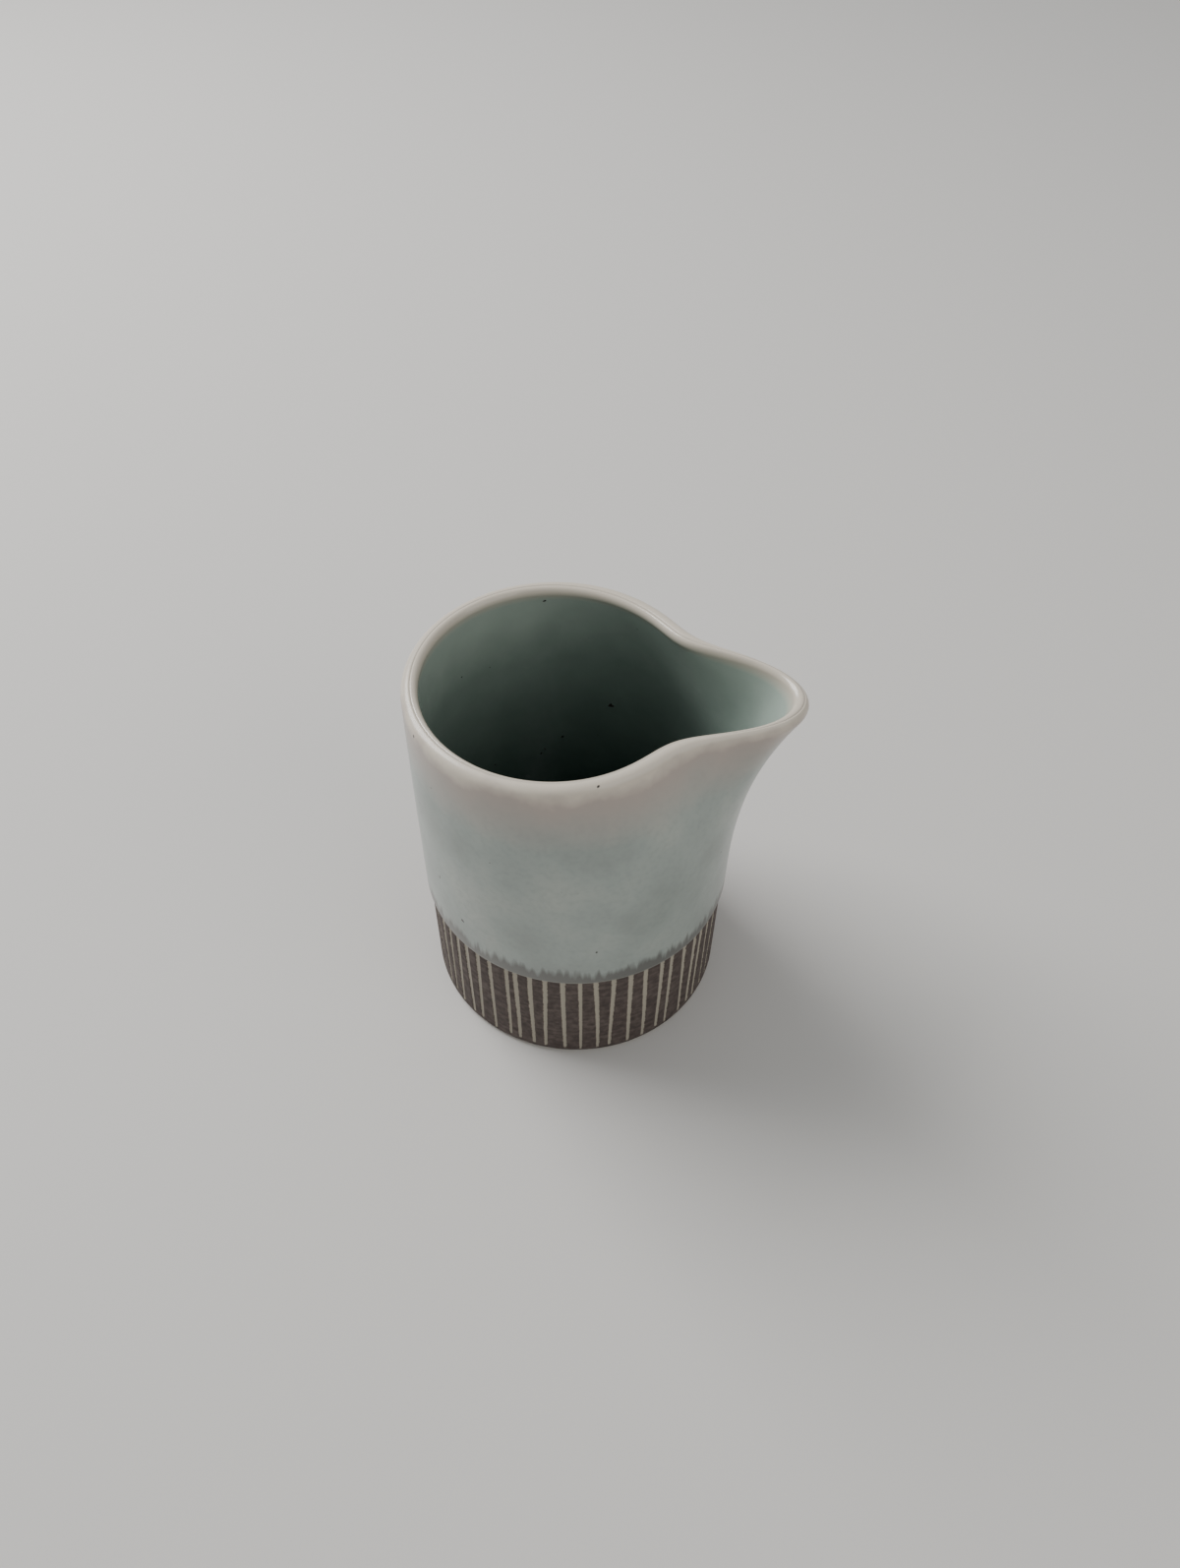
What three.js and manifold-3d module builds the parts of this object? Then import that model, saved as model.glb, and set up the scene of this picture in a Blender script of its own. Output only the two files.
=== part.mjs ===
// A small thrown stoneware creamer with a pulled spout: clay body, scratched slip band and two glaze coats.
// Millimetres, +Z up, the spout points along +X, and the foot stands on z = 0.
import * as THREE from "three";
import { mergeVertices } from "three/addons/utils/BufferGeometryUtils.js";
import Module from "manifold-3d";

const wasm = await Module();
wasm.setup();

// Driving dimensions
const height = 83; // foot to rim crest
const clayRadius = 31.6; // outside of the bare clay wall
const clayWall = 1.5;
const floorThickness = 3.2;
const slipThickness = 0.3;
const hemCover = 0.5; // glaze lying over the slip at its hem
const innerGlaze = 0.4;
const coatGap = 0.15; // clearance between a coat and what it lies on
const hemHeight = 29.5; // lower edge of the outside glaze
const slipUnderlap = 3; // slip that runs on under the glaze
const footBevel = 1; // bare clay bevel at the foot, as high as it is wide
const footRingWidth = 4;
const footRecess = 1.4;
const bandStart = 1.3; // lower edge of the slip
const spoutReach = 10.3; // tip beyond the round wall
const flankDraw = 4.2; // how far pulling the spout draws the flanks in
const spoutSpread = THREE.MathUtils.degToRad(21.8); // half angle of the spout's nose
const flareDepth = 46; // spout's flare, down from the rim
const flarePower = 2.6;
const innerCorner = 7; // radius between wall and floor inside
const lineCount = 60; // scratched lines round the band
const lineWidth = 0.8;
const lineMargin = 2; // slip left whole above and below the lines
const aroundSteps = 64;

// Sizes that follow from those
const middleRadius = clayRadius - clayWall / 2;
const slipRadius = clayRadius + coatGap + slipThickness;
const glazeRadius = slipRadius + coatGap + hemCover;
const outerOffset = glazeRadius - middleRadius; // glaze surface, off the wall's middle
const glazeStart = clayWall / 2 + coatGap;
const innerOffset = glazeStart + innerGlaze;
const lipHeight = height - outerOffset; // centre of the rounded lip
const clayFloor = footRecess + floorThickness;
const slipTop = hemHeight + slipUnderlap;

// How far the spout's shape has grown at a height: 0 on the round wall, 1 at the lip
function flare(z) {
  const depth = Math.max(0, lipHeight - z) / flareDepth;
  return Math.pow(Math.max(0, 1 - depth), flarePower);
}

// Outward push of the wall's middle at an angle from the spout
function push(angle, z) {
  const grown = flare(z);
  const shift = flankDraw * grown;
  const round = clayRadius - shift;
  const back = -shift * Math.cos(angle) + Math.sqrt(round * round - (shift * Math.sin(angle)) ** 2);
  const nose = (spoutReach + 2 * flankDraw) * grown * Math.exp(-((angle / spoutSpread) ** 2));
  return back - clayRadius + nose;
}

// Point beside the wall's middle line, in its meridian: side is +1 outside and -1 inside
function besideWall(angle, z, offset, side) {
  const step = 0.01;
  const lean = (push(angle, z) - push(angle, z - step)) / step;
  const long = Math.hypot(1, lean);
  const radius = middleRadius + push(angle, z) + (side * offset) / long;
  return [radius, z - (side * offset * lean) / long];
}

// Point on the rounded lip: turn runs from 0 outside over the crest to pi inside
function onLip(angle, offset, turn) {
  const [outR, outZ] = besideWall(angle, lipHeight, offset, 1);
  const centreR = middleRadius + push(angle, lipHeight);
  const acrossR = outR - centreR;
  const acrossZ = outZ - lipHeight;
  const cos = Math.cos(turn);
  const sin = Math.sin(turn);
  return [centreR + acrossR * cos - acrossZ * sin, lipHeight + acrossZ * cos + acrossR * sin];
}

function evenSteps(from, to, count) {
  return Array.from({ length: count + 1 }, (_, i) => from + ((to - from) * i) / count);
}

// Heights on the wall: few where it is straight, close together in the flare
function wallHeights(from) {
  const flareStart = lipHeight - flareDepth;
  const flared = evenSteps(Math.max(from, flareStart), lipHeight, 9).slice(0, -1);
  return from < flareStart ? [from, ...flared] : flared;
}

// Closed mesh of a section that changes with the angle; onAxis says that the section ends on the axis.
// Every face is split from its lower corner on one side to its upper corner on the other, so that
// two coats that lie against each other have facets that run alike.
function turned(sectionAt, onAxis) {
  const rings = evenSteps(-Math.PI, Math.PI, aroundSteps).slice(0, -1);
  const sections = rings.map((angle) => sectionAt(angle));
  const count = sections[0].length;
  const positions = [];
  rings.forEach((angle, i) => {
    for (const [r, z] of sections[i]) positions.push(r * Math.cos(angle), r * Math.sin(angle), z);
  });
  const indices = [];
  const last = onAxis ? count - 1 : count;
  for (let i = 0; i < aroundSteps; i++) {
    const here = i * count;
    const next = ((i + 1) % aroundSteps) * count;
    for (let j = 0; j < last; j++) {
      const k = (j + 1) % count;
      const rising = sections[i][k][1] >= sections[i][j][1];
      if (onAxis && j === 0) indices.push(here + k, next + j, next + k);
      else if (onAxis && k === count - 1) indices.push(here + j, next + j, here + k);
      else if (rising) indices.push(here + j, next + j, here + k, here + k, next + j, next + k);
      else indices.push(here + j, next + j, next + k, here + j, next + k, here + k);
    }
  }
  const geometry = new THREE.BufferGeometry();
  geometry.setAttribute("position", new THREE.Float32BufferAttribute(positions, 3));
  geometry.setIndex(indices);
  return geometry;
}

// Thrown clay: foot ring, bevel, wall with its lip, floor and the turned recess underneath
function claySection(angle) {
  const half = clayWall / 2;
  const ringInner = clayRadius - footBevel - footRingWidth;
  const up = wallHeights(bandStart).map((z) => besideWall(angle, z, half, 1));
  const lip = evenSteps(0, Math.PI, 6).map((turn) => onLip(angle, half, turn));
  const corner = innerCorner + innerGlaze + coatGap;
  const down = wallHeights(clayFloor + corner).reverse().map((z) => besideWall(angle, z, half, -1));
  const inside = clayRadius - clayWall;
  const bend = evenSteps(0, Math.PI / 2, 5).slice(1).map((turn) => [
    inside - corner + corner * Math.cos(turn),
    clayFloor + corner - corner * Math.sin(turn),
  ]);
  return [
    [0, footRecess],
    [ringInner - footRecess, footRecess],
    [ringInner, 0],
    [clayRadius - footBevel, 0],
    [clayRadius, footBevel],
    ...up,
    ...lip,
    ...down,
    ...bend,
    [0, clayFloor],
  ];
}

// Outside glaze: rounded hem over the slip, up the wall and over to the lip's crest
function outerGlazeSection(angle) {
  const crest = Math.PI / 2 - coatGap / outerOffset;
  const roll = hemCover / 2;
  const hem = evenSteps(-Math.PI / 2, 0, 3).map((turn) => [
    glazeRadius - roll + roll * Math.cos(turn),
    hemHeight + roll + roll * Math.sin(turn),
  ]);
  const up = wallHeights(slipTop + coatGap).map((z) => besideWall(angle, z, outerOffset, 1));
  const over = evenSteps(0, crest, 3).map((turn) => onLip(angle, outerOffset, turn));
  const back = evenSteps(crest, 0, 3).map((turn) => onLip(angle, glazeStart, turn));
  const down = wallHeights(slipTop + coatGap).reverse().map((z) => besideWall(angle, z, glazeStart, 1));
  const overSlip = slipRadius + coatGap;
  return [...hem, ...up, ...over, ...back, ...down, [overSlip, slipTop + coatGap], [overSlip, hemHeight + roll]];
}

// Inside glaze: from the lip's crest down the wall, round the corner and over the floor
function innerGlazeSection(angle) {
  const crest = Math.PI / 2 + coatGap / outerOffset;
  const floorUnder = clayFloor + coatGap;
  const floorTop = floorUnder + innerGlaze;
  const cornerAt = floorTop + innerCorner;
  const under = wallHeights(cornerAt).map((z) => besideWall(angle, z, glazeStart, -1));
  const upLip = evenSteps(Math.PI, crest, 3).map((turn) => onLip(angle, glazeStart, turn));
  const downLip = evenSteps(crest, Math.PI, 3).map((turn) => onLip(angle, innerOffset, turn));
  const down = wallHeights(cornerAt).reverse().map((z) => besideWall(angle, z, innerOffset, -1));
  const bend = (radius) => evenSteps(Math.PI / 2, 0, 5).slice(0, -1).map((turn) => [
    middleRadius - innerOffset - innerCorner + radius * Math.cos(turn),
    cornerAt - radius * Math.sin(turn),
  ]);
  return [
    [0, floorUnder],
    ...bend(innerCorner + innerGlaze),
    ...under,
    ...upLip,
    ...downLip,
    ...down,
    ...bend(innerCorner).reverse(),
    [0, floorTop],
  ];
}

function toSolid(geometry) {
  const bare = geometry.clone();
  bare.deleteAttribute("normal");
  bare.deleteAttribute("uv");
  const merged = mergeVertices(bare, 1e-4);
  return new wasm.Manifold(
    new wasm.Mesh({ numProp: 3, vertProperties: merged.attributes.position.array, triVerts: merged.index.array }),
  );
}

function toGeometry(solid) {
  const mesh = solid.getMesh();
  const geometry = new THREE.BufferGeometry();
  geometry.setAttribute("position", new THREE.BufferAttribute(mesh.vertProperties, 3));
  geometry.setIndex(new THREE.BufferAttribute(mesh.triVerts, 1));
  return geometry;
}

// Slip band: a thin ring with lines scratched right through it, whole along both edges
function slipBand() {
  const inner = clayRadius + coatGap;
  const profile = [
    new THREE.Vector2(inner, bandStart),
    new THREE.Vector2(slipRadius, bandStart),
    new THREE.Vector2(slipRadius, slipTop),
    new THREE.Vector2(inner, slipTop),
    new THREE.Vector2(inner, bandStart),
  ];
  let band = toSolid(new THREE.LatheGeometry(profile, 2 * aroundSteps).rotateX(Math.PI / 2));
  const lineLength = hemHeight - bandStart - 2 * lineMargin;
  for (let i = 0; i < lineCount; i++) {
    const line = new THREE.BoxGeometry(4 * slipThickness + 2 * coatGap, lineWidth, lineLength);
    line.translate(inner + slipThickness / 2, 0, bandStart + lineMargin + lineLength / 2);
    line.rotateZ((2 * Math.PI * (i + 0.5)) / lineCount);
    band = band.subtract(toSolid(line));
  }
  return toGeometry(band);
}

function piece(name, geometry, color, roughness) {
  const mesh = new THREE.Mesh(geometry, new THREE.MeshStandardMaterial({ color, roughness, metalness: 0 }));
  mesh.name = name;
  return mesh;
}

const creamer = new THREE.Group();
creamer.add(piece("clay_body", turned(claySection, true), 0xa09a8c, 0.85));
creamer.add(piece("slip_band", slipBand(), 0x4a3f3b, 0.9));
creamer.add(piece("outer_glaze", turned(outerGlazeSection, false), 0x909a95, 0.3));
creamer.add(piece("inner_glaze", turned(innerGlazeSection, true), 0x6f7d76, 0.25));

// The origin is under the middle of the whole outline, spout included
const outline = new THREE.Box3().setFromObject(creamer);
creamer.position.x = -(outline.min.x + outline.max.x) / 2;

export default creamer;
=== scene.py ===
# %% [markdown]
# A small stoneware creamer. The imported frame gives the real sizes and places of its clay, slip and glazes.
# Every coat is made again here as a fine mesh from one rule for the thrown wall, so that the teardrop rim
# and the spout stay smooth close up.

# %% Load the frame
import math

import bmesh
import bpy
import numpy as np
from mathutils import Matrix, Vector


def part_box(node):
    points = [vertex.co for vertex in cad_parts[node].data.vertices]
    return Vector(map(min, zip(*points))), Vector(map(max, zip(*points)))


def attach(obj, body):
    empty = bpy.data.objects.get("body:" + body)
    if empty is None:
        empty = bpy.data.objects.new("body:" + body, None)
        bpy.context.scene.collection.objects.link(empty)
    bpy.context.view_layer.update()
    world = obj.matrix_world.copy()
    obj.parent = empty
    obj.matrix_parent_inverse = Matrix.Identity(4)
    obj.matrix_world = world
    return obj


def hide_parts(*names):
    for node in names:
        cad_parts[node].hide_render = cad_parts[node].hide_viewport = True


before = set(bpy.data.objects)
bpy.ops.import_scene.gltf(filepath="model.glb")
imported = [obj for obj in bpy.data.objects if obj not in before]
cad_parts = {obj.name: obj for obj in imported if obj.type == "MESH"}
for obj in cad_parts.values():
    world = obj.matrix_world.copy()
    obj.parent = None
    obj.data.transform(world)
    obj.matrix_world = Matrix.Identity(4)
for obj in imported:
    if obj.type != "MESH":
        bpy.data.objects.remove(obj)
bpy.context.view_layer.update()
MM = 0.001
print("nodes:", sorted(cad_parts))

# %% [markdown]
# Sizes that a node's box gives are read off the frame. The rest, such as how far the flanks of the rim are
# drawn in when the spout is pulled, can't be read off a box and are given here in millimetres.

# %% Sizes
slip_low, slip_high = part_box("slip_band")
glaze_low, glaze_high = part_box("outer_glaze")
clay_low, clay_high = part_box("clay_body")
AXIS_X = (slip_low.x + slip_high.x) / 2
CLAY_RADIUS = (clay_high.y - clay_low.y) / 2
SLIP_RADIUS = (slip_high.y - slip_low.y) / 2
GLAZE_RADIUS = (glaze_high.y - glaze_low.y) / 2
HEM = glaze_low.z
SLIP_TOP = slip_high.z
SLIP_START = slip_low.z
RIM = glaze_high.z
WALL = 1.5 * MM
GAP = 0.15 * MM
INNER_GLAZE = 0.4 * MM
FOOT_BEVEL = 1.0 * MM
FOOT_RING = 4.0 * MM
FOOT_RECESS = 1.4 * MM
CLAY_FLOOR = FOOT_RECESS + 3.2 * MM
INNER_CORNER = 7.0 * MM
SPOUT_REACH = 10.3 * MM
FLANK_DRAW = 4.2 * MM
SPOUT_SPREAD = math.radians(21.8)
FLARE_DEPTH = 46.0 * MM
FLARE_POWER = 2.6
MIDDLE = CLAY_RADIUS - WALL / 2
OUTER_OFFSET = GLAZE_RADIUS - MIDDLE
LIP = RIM - OUTER_OFFSET
print("axis at", round(AXIS_X / MM, 2), "mm, rim at", round(RIM / MM, 2), "mm")

# %% [markdown]
# The wall is a cylinder whose top is pulled into a spout. One function says how far the middle of the wall
# is pushed out at an angle and a height: the round part shrinks and moves back as the flanks are drawn in,
# and a rounded nose grows towards the tip. A point of a coat then lies square to that middle line.

# %% The wall's shape
SLOPE_STEP = 0.01 * MM


def push(angle, z):
    """Outward push of the wall's middle; the angle is counted from the spout."""
    depth = np.maximum(0.0, LIP - z) / FLARE_DEPTH
    grown = np.maximum(0.0, 1 - depth) ** FLARE_POWER
    shift = FLANK_DRAW * grown
    back = -shift * np.cos(angle) + np.sqrt((CLAY_RADIUS - shift) ** 2 - (shift * np.sin(angle)) ** 2)
    nose = (SPOUT_REACH + 2 * FLANK_DRAW) * grown * np.exp(-((angle / SPOUT_SPREAD) ** 2))
    return back - CLAY_RADIUS + nose


def beside_wall(angle, z, offset, side):
    """Radius and height at an offset from the wall's middle; side is 1 outside and -1 inside."""
    lean = (push(angle, z) - push(angle, z - SLOPE_STEP)) / SLOPE_STEP
    long = np.hypot(1, lean)
    return MIDDLE + push(angle, z) + side * offset / long, z - side * offset * lean / long


def on_lip(angle, offset, turn):
    """Radius and height on the rounded lip; turn runs from 0 outside over the crest to pi inside."""
    out_r, out_z = beside_wall(angle, LIP, offset, 1)
    centre = MIDDLE + push(angle, LIP)
    across_r, across_z = out_r - centre, out_z - LIP
    return (
        centre + across_r * math.cos(turn) - across_z * math.sin(turn),
        LIP + across_z * math.cos(turn) + across_r * math.sin(turn),
    )


print("spout tip", round(float(MIDDLE + push(0.0, LIP)) / MM, 1), "mm from the axis, at the wall's middle")

# %% [markdown]
# A pot is thrown on a wheel, so each coat is a section swept round the axis. Here a section is a list of
# rows, each a function that gives a radius and a height for every angle, because the spout makes the
# section change as it goes round. A Screw or Spin would only make the round part.

# %% Sweep a section round the axis
AROUND = 288


def steps(low, high, count):
    return list(np.linspace(low, high, count + 1))


def fixed(r, z):
    return lambda angle: (r + 0 * angle, z + 0 * angle)


def wall_rows(low, high, offset, side, count):
    return [lambda a, z=z: beside_wall(a, z, offset, side) for z in steps(low, high, count)]


def lip_rows(low, high, offset, count):
    return [lambda a, t=t: on_lip(a, offset, t) for t in steps(low, high, count)]


def mesh_piece(name, verts, faces):
    mesh = bpy.data.meshes.new(name)
    mesh.from_pydata([tuple(v) for v in verts], [], faces)
    piece = bpy.data.objects.new(name, mesh)
    bpy.context.collection.objects.link(piece)
    bm = bmesh.new()
    bm.from_mesh(mesh)
    loose = [v for v in bm.verts if not v.link_faces]
    bmesh.ops.delete(bm, geom=loose, context="VERTS")
    bmesh.ops.recalc_face_normals(bm, faces=bm.faces)
    bm.to_mesh(mesh)
    bm.free()
    mesh.shade_smooth()
    print(name, len(mesh.polygons), "faces")
    return piece


def ring_faces(lower, upper, count):
    """Faces between two rings of count points, whose first points have the numbers given."""
    return [
        (lower + i, lower + (i + 1) % count, upper + (i + 1) % count, upper + i)
        for i in range(count)
    ]


def turned(name, rows, on_axis):
    """Closed mesh from rows. on_axis says that the first and last rows are points on the axis."""
    angles = np.linspace(-math.pi, math.pi, AROUND, endpoint=False)
    rings = []
    for row in rows:
        r, z = row(angles)
        rings.append(np.stack([AXIS_X + r * np.cos(angles), r * np.sin(angles), z], -1))
    faces = []
    for j in range(1, len(rows) - 2) if on_axis else range(len(rows)):
        faces += ring_faces(j * AROUND, (j + 1) % len(rows) * AROUND, AROUND)
    if on_axis:
        top_pole, top_ring = (len(rows) - 1) * AROUND, (len(rows) - 2) * AROUND
        for i in range(AROUND):
            n = (i + 1) % AROUND
            faces.append((0, AROUND + n, AROUND + i))
            faces.append((top_ring + i, top_ring + n, top_pole))
    return mesh_piece(name, np.concatenate(rings), faces)


# %% [markdown]
# Each material starts from the real thing: raw stoneware, an iron slip that was brushed on and left
# unglazed, and a celadon glaze. One function turns hex colours to linear, one adds a node, and noise takes
# the real size of its grains in millimetres.

# %% Material helpers
COAT_ROUGHNESS = 0.12


def linear(hex_colour):
    parts = [int(hex_colour[i:i + 2], 16) / 255 for i in (1, 3, 5)]
    return tuple(c / 12.92 if c <= 0.04045 else ((c + 0.055) / 1.055) ** 2.4 for c in parts) + (1.0,)


def node(tree, kind, settings=None, **links):
    """Adds a node. A link named _3 goes to input 3, and any other to the input of that name."""
    made = tree.nodes.new(kind)
    for key, value in (settings or {}).items():
        setattr(made, key, value)
    for key, value in links.items():
        socket = made.inputs[int(key[1:])] if key[1:].isdigit() else made.inputs[key.replace("_", " ")]
        if isinstance(value, bpy.types.NodeSocket):
            tree.links.new(value, socket)
        else:
            socket.default_value = value
    return made


def material(name, roughness, ior=1.5, coat=0.0):
    made = bpy.data.materials.new(name)
    made.use_nodes = True
    tree = made.node_tree
    shader = tree.nodes["Principled BSDF"]
    shader.inputs["Roughness"].default_value = roughness
    shader.inputs["IOR"].default_value = ior
    shader.inputs["Coat Weight"].default_value = coat
    shader.inputs["Coat Roughness"].default_value = COAT_ROUGHNESS
    place = node(tree, "ShaderNodeTexCoord").outputs["Object"]
    print("material", name)
    return made, tree, shader, place


def noise(tree, place, size_mm, detail=3.0, stretch=(1, 1, 1)):
    mapped = node(tree, "ShaderNodeMapping", Vector=place, Scale=stretch).outputs[0]
    made = node(tree, "ShaderNodeTexNoise", Vector=mapped, Scale=1 / (size_mm * MM), Detail=detail)
    return made.outputs["Fac"]


def ramp(tree, fac, stops):
    made = node(tree, "ShaderNodeValToRGB", Fac=fac)
    elements = made.color_ramp.elements
    while len(elements) < len(stops):
        elements.new(0.5)
    for element, (at, colour) in zip(elements, stops):
        element.position = at
        element.color = linear(colour)
    return made.outputs["Color"]


def mix(tree, fac, a, b):
    return node(tree, "ShaderNodeMix", {"data_type": "RGBA"}, _0=fac, _6=a, _7=b).outputs[2]


def span(tree, value, low, high, out_low=0.0, out_high=1.0):
    made = node(
        tree, "ShaderNodeMapRange", Value=value, From_Min=low, From_Max=high, To_Min=out_low, To_Max=out_high
    )
    return made.outputs[0]


def maths(tree, operation, a, b):
    return node(tree, "ShaderNodeMath", {"operation": operation}, _0=a, _1=b).outputs[0]


def height_of(tree, place):
    return node(tree, "ShaderNodeSeparateXYZ", Vector=place).outputs["Z"]


def wander(tree, value, by, reach_mm):
    """A height that a noise moves up and down by up to reach_mm, so that a border isn't a level line."""
    return maths(tree, "ADD", value, span(tree, by, 0.3, 0.7, -reach_mm * MM, reach_mm * MM))


def bump(tree, shader, fac, distance_mm, strength):
    made = node(tree, "ShaderNodeBump", Height=fac, Distance=distance_mm * MM, Strength=strength)
    tree.links.new(made.outputs["Normal"], shader.inputs["Normal"])


# %% [markdown]
# Both glazes hold a few iron specks, where a grain in the clay melted into the glaze. They also run thin
# over the crest of the rim, where the warm cream of the clay shows through, and the crest's paleness is
# partly a painted highlight where light falls on the rim's top.

# %% Colours that both glazes share
THIN_GLAZE_AND_LIT_CREST = "#d0c6b6"
SPECK = "#2e2a26"
SPECK_MM = 2.2


def with_specks(tree, place, colour):
    specks = span(tree, noise(tree, place, SPECK_MM, 1), 0.77, 0.79)
    return mix(tree, specks, colour, linear(SPECK))


# %% [markdown]
# Outside the celadon is satin: grey-green where it is thick, blushing under the rim. Just above its hem the
# slip shows through it as a dark fringe, drawn out in upright streaks as the glaze ran.

# %% Glaze outside
def celadon_outside():
    made, tree, shader, place = material("celadon_glaze_satin", 0.32, 1.52, 0.25)
    z = height_of(tree, place)
    grain = noise(tree, place, 1.2, 3)
    body = ramp(tree, noise(tree, place, 14, 4), [(0.3, "#8b938d"), (0.5, "#97a09a"), (0.72, "#a5aba3")])
    body = mix(tree, span(tree, grain, 0.45, 0.7, 0.0, 0.25), body, linear("#7d8782"))

    wavy = wander(tree, z, noise(tree, place, 7, 3), 1.2)
    body = mix(tree, span(tree, wavy, RIM - 14 * MM, RIM - 3 * MM), body, linear("#ab9f96"))
    # The pale crest is thin glaze over the clay, and partly a painted highlight on the rim's top.
    body = mix(tree, span(tree, wavy, RIM - 3.2 * MM, RIM - 0.8 * MM), body, linear(THIN_GLAZE_AND_LIT_CREST))

    streak = noise(tree, place, 1.4, 2, (1, 1, 0.12))
    fringe_top = maths(tree, "ADD", z, span(tree, streak, 0.35, 0.65, -1.3 * MM, 1.3 * MM))
    fringe = span(tree, fringe_top, HEM + 2.2 * MM, HEM + 4.4 * MM, 1.0, 0.0)
    body = mix(tree, maths(tree, "MULTIPLY", fringe, 0.85), body, linear("#4d4b47"))
    # A lighter grey line along the hem's rounded edge is a painted highlight.
    hem_highlight = span(tree, z, HEM + 0.25 * MM, HEM + 0.6 * MM, 1.0, 0.0)
    body = mix(tree, maths(tree, "MULTIPLY", hem_highlight, 0.6), body, linear("#8a8a80"))

    tree.links.new(with_specks(tree, place, body), shader.inputs["Base Color"])
    ripple = maths(tree, "ADD", noise(tree, place, 5, 2), maths(tree, "MULTIPLY", grain, 0.12))
    bump(tree, shader, ripple, 0.18, 0.35)
    return made


# %% [markdown]
# Inside, the same glaze was poured in and out again. It is glossier, and it pools dark green in the corner
# round the floor. The floor and the lower wall are also darkened with painted shade, which pales up the wall
# towards the rim.

# %% Glaze inside
def celadon_inside():
    made, tree, shader, place = material("celadon_glaze_pooled_and_painted_shade", 0.2, 1.52, 0.4)
    z = height_of(tree, place)
    cloud = noise(tree, place, 10, 4)
    wavy = wander(tree, z, cloud, 3)
    # Painted shade darkens the floor and the lower wall and pales towards the rim. The dark green corner band
    # is pooled glaze.
    floor = ramp(tree, cloud, [(0.3, "#3d443c"), (0.7, "#4c5148")])
    body = mix(tree, span(tree, wavy, 6.5 * MM, 10 * MM), floor, linear("#2f4640"))
    body = mix(tree, span(tree, wavy, 14 * MM, 60 * MM), body, linear("#7f8d85"))
    body = mix(tree, span(tree, wavy, RIM - 22 * MM, RIM - 4 * MM), body, linear("#a3b0a6"))
    # The pale crest is thin glaze over the clay, and partly a painted highlight on the rim's top.
    body = mix(tree, span(tree, z, RIM - 3.2 * MM, RIM - 0.9 * MM), body, linear(THIN_GLAZE_AND_LIT_CREST))
    tree.links.new(with_specks(tree, place, body), shader.inputs["Base Color"])
    bump(tree, shader, noise(tree, place, 6, 2), 0.2, 0.3)
    return made


# %% [markdown]
# Unglazed stoneware is matte and grey-cream, with fine sand in a smooth body.

# %% Bare clay
def raw_stoneware():
    made, tree, shader, place = material("raw_stoneware", 0.85)
    grain = noise(tree, place, 0.8, 4)
    body = ramp(tree, grain, [(0.35, "#9c9484"), (0.55, "#b3ab9b"), (0.7, "#c2baaa")])
    tree.links.new(body, shader.inputs["Base Color"])
    bump(tree, shader, grain, 0.06, 0.5)
    return made


# %% [markdown]
# The iron slip was brushed on as the pot turned, so it has level streaks over a mottled dark brown, and it
# fired matte. The attribute bare, made with the mesh below, marks where the lines go down to the clay, and
# a fine noise makes the lines' borders ragged.

# %% Slip
def iron_slip():
    made, tree, shader, place = material("iron_slip_matte", 0.82)
    streak = noise(tree, place, 1.0, 4, (0.15, 0.15, 1))
    mottle = noise(tree, place, 1.3, 4)
    body = ramp(tree, mottle, [(0.3, "#3d332f"), (0.5, "#4a3f3b"), (0.7, "#5c514b")])
    body = mix(tree, span(tree, streak, 0.5, 0.7, 0.0, 0.45), body, linear("#6a5f58"))
    bare = node(tree, "ShaderNodeAttribute", {"attribute_name": "bare"}).outputs["Fac"]
    ragged = maths(tree, "ADD", bare, span(tree, noise(tree, place, 0.5, 2), 0.3, 0.7, -0.25, 0.25))
    body = mix(tree, span(tree, ragged, 0.4, 0.6), body, linear("#a49d8e"))
    tree.links.new(body, shader.inputs["Base Color"])
    bump(tree, shader, maths(tree, "ADD", mottle, streak), 0.08, 0.5)
    return made


# %% [markdown]
# The clay shows at the bevel of the foot and underneath. Its section goes from the recess over the foot
# ring, up the wall, round the lip, and down inside to the floor.

# %% Clay body
HALF_WALL = WALL / 2
ring_inner = CLAY_RADIUS - FOOT_BEVEL - FOOT_RING
clay_corner = INNER_CORNER + INNER_GLAZE + GAP
corner_centre = CLAY_RADIUS - WALL - clay_corner

clay_rows = [fixed(0, FOOT_RECESS), fixed(ring_inner - FOOT_RECESS, FOOT_RECESS), fixed(ring_inner, 0)]
clay_rows += [fixed(CLAY_RADIUS - FOOT_BEVEL, 0), fixed(CLAY_RADIUS, FOOT_BEVEL)]
clay_rows += wall_rows(SLIP_START, LIP, HALF_WALL, 1, 40)[:-1]
clay_rows += lip_rows(0, math.pi, HALF_WALL, 8)
clay_rows += wall_rows(LIP, CLAY_FLOOR + clay_corner, HALF_WALL, -1, 40)[1:]
for t in steps(0, math.pi / 2, 6)[1:]:
    clay_rows.append(fixed(
        corner_centre + clay_corner * math.cos(t), CLAY_FLOOR + clay_corner - clay_corner * math.sin(t)
    ))
clay_rows.append(fixed(0, CLAY_FLOOR))
clay = turned("clay_body_fine", clay_rows, True)
clay.data.materials.append(raw_stoneware())

# %% [markdown]
# The outside glaze ends in a rounded hem that stands proud of the slip, and it goes over the lip as far as
# the crest, where the inside glaze meets it.

# %% Outside glaze
INNER_FACE = WALL / 2 + GAP
OVER_SLIP = SLIP_RADIUS + GAP
roll = (GLAZE_RADIUS - OVER_SLIP) / 2

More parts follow.
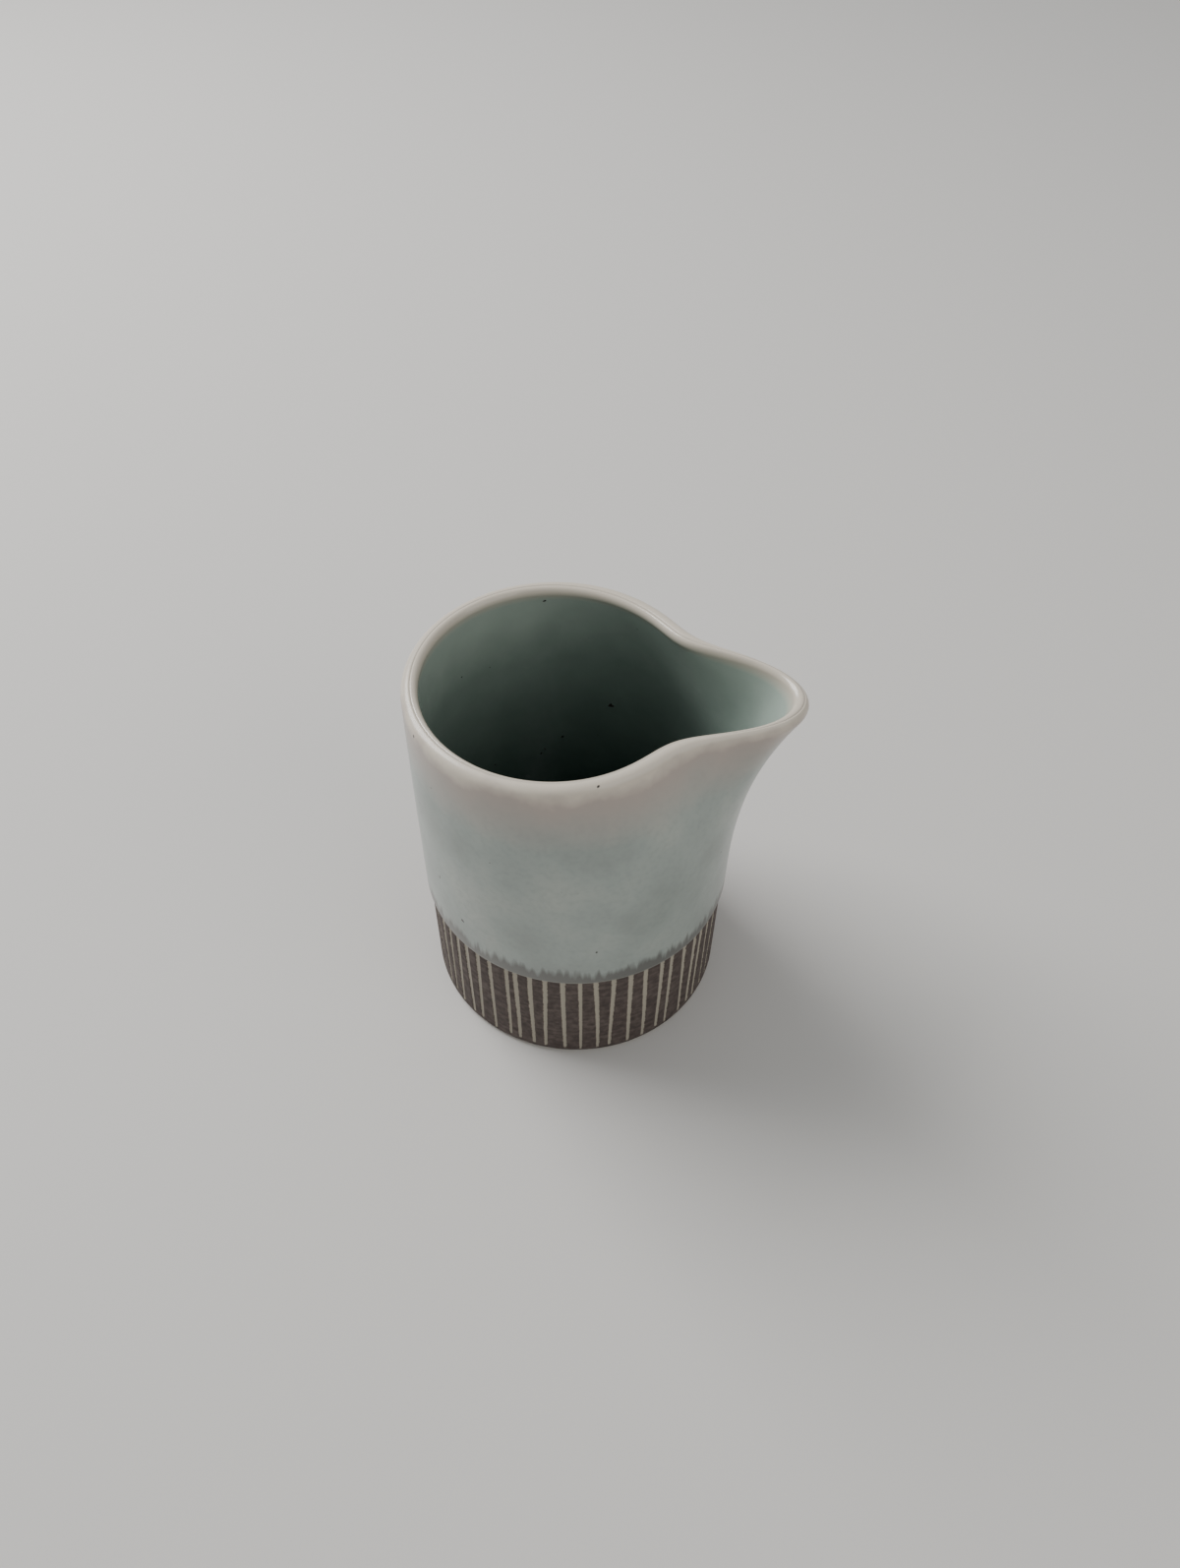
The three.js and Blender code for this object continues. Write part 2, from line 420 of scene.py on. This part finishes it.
glaze_rows = []
for t in steps(-math.pi / 2, 0, 6):
    glaze_rows.append(fixed(GLAZE_RADIUS - roll + roll * math.cos(t), HEM + roll + roll * math.sin(t)))
glaze_rows += wall_rows(SLIP_TOP + GAP, LIP, OUTER_OFFSET, 1, 60)[:-1]
glaze_rows += lip_rows(0, math.pi / 2, OUTER_OFFSET, 8)
glaze_rows += lip_rows(math.pi / 2, 0, INNER_FACE, 8)
glaze_rows += wall_rows(LIP, SLIP_TOP + GAP, INNER_FACE, 1, 60)[1:]
glaze_rows += [fixed(OVER_SLIP, SLIP_TOP + GAP), fixed(OVER_SLIP, HEM + roll)]
outside = turned("outer_glaze_fine", glaze_rows, False)
outside.data.materials.append(celadon_outside())

# %% [markdown]
# The inside glaze starts as thick as the outside one at the crest, so that they meet flush, and thins to a
# poured coat past the lip.

# %% Inside glaze
INNER_OFFSET = INNER_FACE + INNER_GLAZE
THINNING_START = 0.69 * math.pi
floor_under = CLAY_FLOOR + GAP
floor_top = floor_under + INNER_GLAZE
corner_at = floor_top + INNER_CORNER


def bend(radius, low, high):
    centre = MIDDLE - INNER_OFFSET - INNER_CORNER
    return [
        fixed(centre + radius * math.cos(t), corner_at - radius * math.sin(t)) for t in steps(low, high, 8)
    ]


def thinning(turn, share):
    return lambda a: on_lip(a, OUTER_OFFSET + (INNER_OFFSET - OUTER_OFFSET) * share, turn)


inner_rows = [fixed(0, floor_under)] + bend(INNER_CORNER + INNER_GLAZE, math.pi / 2, 0)[:-1]
inner_rows += wall_rows(corner_at, LIP, INNER_FACE, -1, 60)[:-1]
inner_rows += lip_rows(math.pi, math.pi / 2, INNER_FACE, 8)
inner_rows += lip_rows(math.pi / 2, math.pi, OUTER_OFFSET, 8)[:3]
inner_rows += [thinning(t, s) for t, s in zip(steps(THINNING_START, math.pi, 5), steps(0.2, 1, 5))]
inner_rows += wall_rows(LIP, corner_at, INNER_OFFSET, -1, 60)[1:]
inner_rows += bend(INNER_CORNER, 0, math.pi / 2)[1:] + [fixed(0, floor_top)]
lining = turned("inner_glaze_fine", inner_rows, True)
lining.data.materials.append(celadon_inside())

# %% [markdown]
# The potter scored the slip with a point, so each line is a shallow, slightly wandering groove with bare
# clay at its bottom. Strips laid on the slip would stand proud, so the slip is one fine grid that is pressed
# in along the lines. The lines in front have angles worked out from the photograph, in degrees from
# the middle of the view, and the rest follow at the same spacing with a seeded unevenness.

# %% Where the lines go
VIEW_TURN = 7.0
FRONT_LINES = [
    -62.3, -57, -51.6, -45.6, -40.1, -33.9, -26.7, -22.9, -17, -11.7, -4.6, 1.6,
    7.8, 13.5, 20.6, 26.8, 33.5, 38.1, 45.2, 51, 55.3, 60.9, 66.9,
]
LINE_SPACING = 5.95
UNEVEN = 0.9
random = np.random.default_rng(7)
line_degrees = list(FRONT_LINES)
while line_degrees[-1] + LINE_SPACING * 1.4 < FRONT_LINES[0] + 360:
    line_degrees.append(line_degrees[-1] + LINE_SPACING + random.uniform(-UNEVEN, UNEVEN))
line_angles = np.radians(np.array(line_degrees) - 90 + VIEW_TURN)
print(len(line_angles), "scratched lines")

# %% Press the lines into a grid
LINE_WIDTH = 1.0 * MM
GROOVE_DEPTH = 0.22 * MM
LEAN = 0.35 * MM
BOW = 0.3 * MM
END_SLOPE = 0.5 * MM
GRID_AROUND = 1440
GRID_UP = 46
across = np.linspace(-math.pi, math.pi, GRID_AROUND, endpoint=False)
grid_a, grid_z = np.meshgrid(across, np.linspace(SLIP_START, SLIP_TOP, GRID_UP))
along = (grid_z - SLIP_START) / (HEM - SLIP_START)
bare = np.zeros_like(grid_a)
for base in line_angles:
    lean, bow, at = random.uniform(-1, 1), random.uniform(-1, 1), random.uniform(0.3, 0.7)
    drift = LEAN * lean * (along - 0.5) + BOW * bow * np.sin(math.pi * (along - at))
    off = (grid_a - base - drift / SLIP_RADIUS + math.pi) % (2 * math.pi) - math.pi
    width = LINE_WIDTH * (0.62 + 0.38 * np.clip(along, 0, 1)) * (1 + 0.12 * random.uniform(-1, 1))
    inside_line = np.clip(1.5 - np.abs(off) * SLIP_RADIUS / (width / 2), 0, 1)
    ends = np.clip((grid_z - SLIP_START - random.uniform(0.1, 0.7) * MM) / END_SLOPE, 0, 1)
    bare = np.maximum(bare, inside_line * ends)
print("deepest groove", round(GROOVE_DEPTH * float(bare.max()) / MM, 2), "mm")

# %% [markdown]
# Two plain rings at the back close the grid into a thin shell. The attribute bare goes with the mesh.

# %% Scratched slip
BACK_RADIUS = CLAY_RADIUS + 0.02 * MM
radius = SLIP_RADIUS - GROOVE_DEPTH * bare
front = np.stack([AXIS_X + radius * np.cos(grid_a), radius * np.sin(grid_a), grid_z], -1).reshape(-1, 3)
back_x = AXIS_X + BACK_RADIUS * np.cos(across)
back_y = BACK_RADIUS * np.sin(across)
back = [np.stack([back_x, back_y, across * 0 + z], -1) for z in (SLIP_TOP, SLIP_START)]
ring_count = GRID_UP + len(back)
slip_faces = []
for j in range(ring_count):
    slip_faces += ring_faces(j * GRID_AROUND, (j + 1) % ring_count * GRID_AROUND, GRID_AROUND)
slip = mesh_piece("slip_band_fine", np.concatenate([front] + back), slip_faces)
layer = slip.data.attributes.new("bare", "FLOAT", "POINT")
bare_values = np.concatenate([bare.ravel(), np.zeros(len(back) * GRID_AROUND)])
layer.data.foreach_set("value", bare_values.astype(np.float32))
slip.data.materials.append(iron_slip())

# %% [markdown]
# Nothing on the creamer moves, so every piece rides on the one body, root. Each stands for the solid of the
# same coat.

# %% Ride and replace
for piece, replaced, slot_name in (
    (clay, "clay_body", "bare_clay"),
    (slip, "slip_band", "dark_slip"),
    (outside, "outer_glaze", "celadon_glaze"),
    (lining, "inner_glaze", "inner_glaze"),
):
    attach(piece, "root")
    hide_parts(replaced)
    print(piece.name, "replaces", replaced)

# %% [markdown]
# A wide pale floor carries the creamer. A large soft lamp on the left, a little behind, with a weak one on
# the right in front, gives even light with one soft shadow.

# %% Stage and light
SIDE = 3.0
LAMP_AIM = Vector((0, 0, 0.04))
floor_mesh = bpy.data.meshes.new("sweep")
floor_corners = [(-SIDE, -SIDE, 0), (SIDE, -SIDE, 0), (SIDE, SIDE, 0), (-SIDE, SIDE, 0)]
floor_mesh.from_pydata(floor_corners, [], [(0, 1, 2, 3)])
floor = bpy.data.objects.new("sweep", floor_mesh)
bpy.context.collection.objects.link(floor)
floor_material, _, floor_shader, _ = material("pale_paper_matte", 0.9)
floor_shader.inputs["Base Color"].default_value = linear("#cfccc8")
floor_mesh.materials.append(floor_material)

world = bpy.data.worlds.new("soft_room")
world.use_nodes = True
background = world.node_tree.nodes["Background"]
background.inputs["Color"].default_value = linear("#dfe3e6")
background.inputs["Strength"].default_value = 0.55
bpy.context.scene.world = world


def soft_lamp(name, place, size, watts, colour):
    data = bpy.data.lights.new(name, "AREA")
    data.size = size
    data.energy = watts
    data.color = linear(colour)[:3]
    lamp = bpy.data.objects.new(name, data)
    lamp.location = place
    lamp.rotation_euler = (LAMP_AIM - Vector(place)).to_track_quat("-Z", "Y").to_euler()
    bpy.context.collection.objects.link(lamp)
    print(name, watts, "W")


soft_lamp("key_lamp", (-0.7, 0.35, 0.8), 0.7, 14, "#ffffff")
soft_lamp("fill_lamp", (0.8, -0.5, 0.6), 0.8, 3, "#f4efe8")

# %% [markdown]
# The camera looks down from the front at an estimated angle and distance. Its lens comes from a focal
# length in pixels of the photograph, whose long side is 1594, and a small shift sets the vessel's axis a
# little left of the middle, as in the photograph.

# %% Camera
FOCAL_PX = 1200.0
PHOTO_LONG = 1594.0
SENSOR_MM = 36
CAMERA_BACK = 0.158
CAMERA_HIGH = 0.235
CAMERA_PITCH = 49.0
AXIS_LEFT_PX = 14.0
camera_data = bpy.data.cameras.new("camera")
camera_data.sensor_fit = "AUTO"
camera_data.sensor_width = SENSOR_MM
camera_data.lens = FOCAL_PX / PHOTO_LONG * SENSOR_MM
camera_data.shift_x = AXIS_LEFT_PX / PHOTO_LONG
camera = bpy.data.objects.new("camera", camera_data)
view_turn = math.radians(VIEW_TURN)
camera.location = (AXIS_X + CAMERA_BACK * math.sin(view_turn), -CAMERA_BACK * math.cos(view_turn), CAMERA_HIGH)
camera.rotation_euler = (math.radians(90 - CAMERA_PITCH), 0, view_turn)
bpy.context.collection.objects.link(camera)
bpy.context.scene.camera = camera
print("lens", round(camera_data.lens, 1), "mm")
